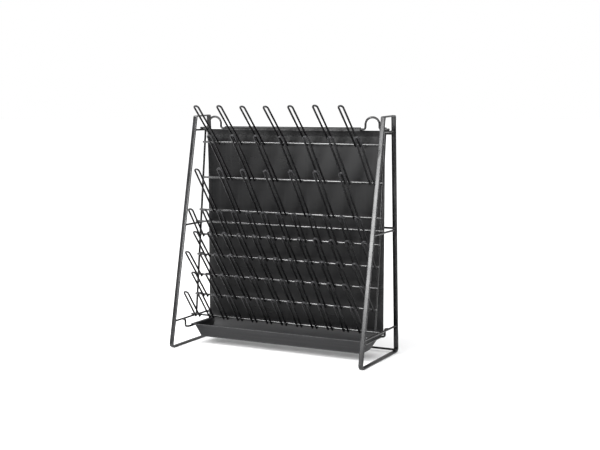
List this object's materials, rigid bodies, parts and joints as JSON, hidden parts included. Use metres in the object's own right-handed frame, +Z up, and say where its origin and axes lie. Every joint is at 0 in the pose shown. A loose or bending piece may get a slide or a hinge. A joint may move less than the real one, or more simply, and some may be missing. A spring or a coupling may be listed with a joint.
{
  "type": "laboratory drying rack",
  "caption": "Free-standing wire drying rack: two side frames, a leaning grid of hairpin pegs for glassware, a lift-off back panel and a drip tray that slides out.",
  "frame": {"origin": "on the floor, in the middle of the rack's footprint", "axes": "+X to the right as seen from the front, +Y to the back, +Z up"},
  "size_m": [0.43, 0.1787, 0.4912],
  "materials": {
    "frame_coat": "satin",
    "wire_coat": "satin",
    "panel_coat": "satin",
    "tray_plastic": "satin"
  },
  "bodies": {
    "rack": {"grid_rod_1": "wire_coat", "grid_rod_2": "wire_coat", "grid_rod_3": "wire_coat", "grid_rod_4": "wire_coat", "grid_rod_5": "wire_coat", "grid_rod_6": "wire_coat", "grid_rod_7": "wire_coat", "grid_rod_8": "wire_coat", "grid_side_wire_left": "wire_coat", "grid_side_wire_right": "wire_coat", "grid_stay_wire": "wire_coat", "lower_brace_left": "wire_coat", "lower_brace_right": "wire_coat", "middle_brace_left": "wire_coat", "middle_brace_right": "wire_coat", "peg_row_1": "wire_coat", "peg_row_2": "wire_coat", "peg_row_3": "wire_coat", "peg_row_4": "wire_coat", "peg_row_5": "wire_coat", "peg_row_6": "wire_coat", "peg_row_7": "wire_coat", "peg_row_8": "wire_coat", "rear_rod_bottom": "wire_coat", "rear_rod_middle": "wire_coat", "rear_rod_top": "wire_coat", "side_frame_left": "frame_coat", "side_frame_right": "frame_coat", "top_brace_left": "wire_coat", "top_brace_right": "wire_coat", "top_hanging_wire": "wire_coat", "tray_hanger_left": "wire_coat", "tray_hanger_right": "wire_coat"},
    "panel": {"back_panel": "panel_coat"},
    "tray": {"drip_tray": "tray_plastic"}
  },
  "joints": [
    {"name": "back_panel_lift", "type": "slide", "parent": "rack", "child": "panel", "axis": [0, 0, 1], "range_m": [0, 0.45]},
    {"name": "drip_tray_slide", "type": "slide", "parent": "rack", "child": "tray", "axis": [0, -1, 0], "range_m": [0, 0.12]}
  ]
}
